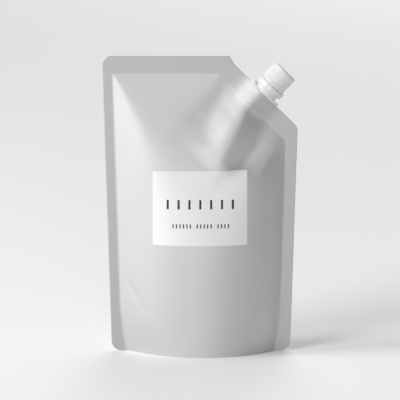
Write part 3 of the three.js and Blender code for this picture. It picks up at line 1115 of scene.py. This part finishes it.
@dataclass
class Cap:
    """The screw cap: a ribbed skirt with a rounded top edge, a plug ring and a thread inside."""

    radius: float = 10.6
    inner: float = 8.75
    low: float = 9.3
    top: float = 24.7
    dome: float = 0.5
    ceiling: float = 23.3
    taper: float = 0.02
    edge: float = 1.2
    ribs: int = 44
    rib_depth: float = 0.28
    rib_low: float = 10.9
    rib_high: float = 22.8
    plug: float = 5.5
    plug_inner: float = 4.5
    plug_low: float = 20.2
    screw: tuple[float, float, float] = (7.75, 11.1, 18.3)
    sides: int = 352

    def outside(self, height: float) -> float:
        """Radius of the skirt at a height."""
        return self.radius - self.taper * (height - self.low)

    def profile(self) -> list[tuple[float, float]]:
        """Corners from the middle of the ceiling, down inside, and up outside to the top."""
        shoulder = self.top - self.dome
        crown = self.outside(shoulder - self.edge) - self.edge
        inside = [(0.0, self.ceiling), (2.0, self.ceiling), (self.plug_inner, self.ceiling)]
        inside += [(self.plug_inner, self.plug_low + 0.2), (self.plug_inner + 0.2, self.plug_low)]
        inside += [(self.plug - 0.3, self.plug_low), (self.plug, self.plug_low + 0.4)]
        inside += [(self.plug, self.ceiling), (self.inner - 0.3, self.ceiling)]
        inside += [(self.inner, self.ceiling - 0.4), (self.inner, self.low)]
        skirt = [(self.outside(self.low) - 0.15, self.low), (self.outside(self.low), self.low + 0.2)]
        heights = [10.5, self.rib_low, self.rib_low + 0.25, self.rib_low + 0.6, 14.0, 17.0, 20.0]
        heights += [self.rib_high - 0.9, self.rib_high - 0.45, self.rib_high]
        skirt += [(self.outside(z), z) for z in heights]
        skirt += arc((crown, shoulder - self.edge), self.edge, 4, 84, 10)
        disc = [(crown * share, self.top - self.dome * share**2) for share in (0.8, 0.55, 0.3, 0.12)]
        return inside + skirt + disc + [(0.0, self.top)]

    def build(self) -> bpy.types.Object:
        """Turn the cap, press the ribs into its skirt and wind its thread."""
        cap = turned("screw_cap", self.sides, self.profile())
        points = points_of(cap)
        reach, turn = polar(points)
        height = points[:, 2] / MM
        wave = (0.5 - 0.5 * np.cos(turn * self.ribs)) ** 3
        fade = smoothstep(self.rib_low, self.rib_low + 0.5, height)
        fade = fade * (1 - smoothstep(self.rib_high - 0.6, self.rib_high, height))
        skirt = reach > self.inner + 0.9
        press = np.where(skirt, self.rib_depth * wave * fade, 0.0)
        points[:, :2] *= (1 - press / np.maximum(reach, 1.0))[:, None]
        move_points(cap, points)
        screw = thread("cap_thread", self.inner + 0.2, *self.screw)
        cap = join([cap, screw])
        smooth(cap, 32)
        return cap


@dataclass(frozen=True)
class PlasticFinish:
    """Moulded white plastic with a fine satin grain."""

    name: str
    level: float
    roughness: float
    grain: float = 1800.0
    depth: float = 0.006 * MM

    def make(self) -> bpy.types.Material:
        """Build the material."""
        shader = Shader(self.name)
        vector, _, _, _ = shader.place()
        grain = shader.noise(vector, self.grain, 2.0)
        cloud = shader.noise(vector, 60.0, 2.0)
        shader.set(
            Base_Color=shader.mix(cloud, grey(self.level * 0.985), grey(self.level)),
            Roughness=cloud * 0.05 + (self.roughness - 0.025),
            IOR=1.49,
        )
        shader.bump(grain, self.depth)
        return shader.material


# ---- Studio ----


@dataclass(frozen=True)
class Lamp:
    """One square soft light.

    Its azimuth is in degrees round the place it faces, positive to the right of the front, and
    its elevation in degrees above the floor. Sizes are in metres and the power in watts.
    """

    name: str
    aim: tuple[float, float, float]
    azimuth: float
    elevation: float
    distance: float
    size: float
    power: float

    def hang(self) -> None:
        """Hang the light and turn it to the place it faces."""
        turn, lift = math.radians(self.azimuth), math.radians(self.elevation)
        away = math.cos(lift)
        way = Vector((math.sin(turn) * away, -math.cos(turn) * away, math.sin(lift)))
        bpy.ops.object.light_add(type="AREA", location=Vector(self.aim) + self.distance * way)
        lamp = bpy.context.object
        lamp.name = self.name
        lamp.rotation_euler = (-way).to_track_quat("-Z", "Y").to_euler()
        lamp.data.size = self.size
        lamp.data.energy = self.power


@dataclass(frozen=True)
class Studio:
    """Camera, floor and soft lights."""

    distance: float = 1.9
    height: float = 0.451
    aim: float = 0.1178
    aside: float = -0.75 * MM
    lens: float = 227.4
    floor_level: float = 0.96
    room_light: float = 0.15
    near: tuple[float, float, float] = (0.0, 0.0, 0.1)
    far: tuple[float, float, float] = (0.6, 1.0, 0.0)

    def camera(self) -> None:
        """Stand the camera in front of the pack, a little above it."""
        place = Vector((self.aside, -self.distance, self.height))
        target = Vector((self.aside, 0.0, self.aim))
        bpy.ops.object.camera_add(location=place)
        camera = bpy.context.object
        camera.rotation_euler = (target - place).to_track_quat("-Z", "Y").to_euler()
        camera.data.lens = self.lens
        camera.data.sensor_width = 36.0
        camera.data.clip_end = 100.0
        bpy.context.scene.camera = camera

    def floor(self) -> None:
        """Lay a wide pale floor."""
        deselect_all()
        bpy.ops.mesh.primitive_plane_add(size=24.0, location=(0, 3.0, 0))
        floor = bpy.context.object
        floor.name = "floor"
        shader = Shader("floor_paint")
        shader.set(Base_Color=grey(self.floor_level), Roughness=0.8)
        dress(floor, shader.material)

    def light(self) -> None:
        """Light the pack from the left, with a pale room all round."""
        world = bpy.data.worlds.new("pale_room")
        bpy.context.scene.world = world
        world.use_nodes = True
        room = world.node_tree.nodes["Background"].inputs
        room["Color"].default_value = grey(1.0)
        room["Strength"].default_value = self.room_light
        Lamp("key", self.near, -48, 30, 3.0, 1.2, 43.0).hang()
        Lamp("side", self.near, -80, 24, 3.0, 0.9, 47.0).hang()
        Lamp("front", self.near, 0, 10, 4.5, 1.4, 29.0).hang()
        Lamp("above", self.far, 150, 70, 4.0, 3.0, 41.0).hang()
        Lamp("back", self.near, 180, 30, 6.0, 3.0, 67.0).hang()
        Lamp("rim", self.near, 165, 11, 5.0, 1.6, 20.0).hang()
        bpy.context.scene.view_settings.view_transform = "Standard"


# ---- Assembly ----


def hand_over(piece: bpy.types.Object, body: str, node: str) -> None:
    """Put a finished piece on the body that carries it and hide the frame's node that it stands for.

    Args:
        piece: the finished piece.
        body: the body that carries it.
        node: the frame's node that it replaces.
    """
    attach(piece, body)
    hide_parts(node)
    LOG.info("%s: %d faces", node, len(piece.data.polygons))


def main() -> None:
    """Build every piece in order and dress it."""
    logging.basicConfig(level=logging.INFO, format="%(name)s: %(message)s")
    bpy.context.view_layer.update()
    studio = Studio()
    studio.camera()
    studio.floor()
    studio.light()
    joint = frame["joints"][0]
    x, _, z = joint["pos_m"]
    form = BagForm(height=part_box("pouch")[1].z / MM, spout_x=x / MM, spout_z=z / MM)
    pouch = Pouch(form).build()
    dress(pouch, FilmFinish(form).make())
    hand_over(pouch, "pack", "pouch")
    label = Label(form).build()
    dress(label, PaperFinish().make())
    hand_over(label, "pack", "label")
    axis = Axis(Vector(joint["pos_m"]), Vector(joint["axis"]).normalized())
    spout_plastic = PlasticFinish("spout_plastic", 0.68, 0.42).make()
    cap_plastic = PlasticFinish("cap_plastic", 0.7, 0.38).make()
    for part, body, node, slot, material in (
        (Spout(), "pack", "spout", "spout_plastic", spout_plastic),
        (TamperBand(), "band", "tamper_band", "cap_plastic", cap_plastic),
        (Cap(), "cap", "cap", "cap_plastic", cap_plastic),
    ):
        piece = part.build()
        axis.stand(piece)
        dress(piece, material)
        hand_over(piece, body, node)


if __name__ == "__main__":
    main()
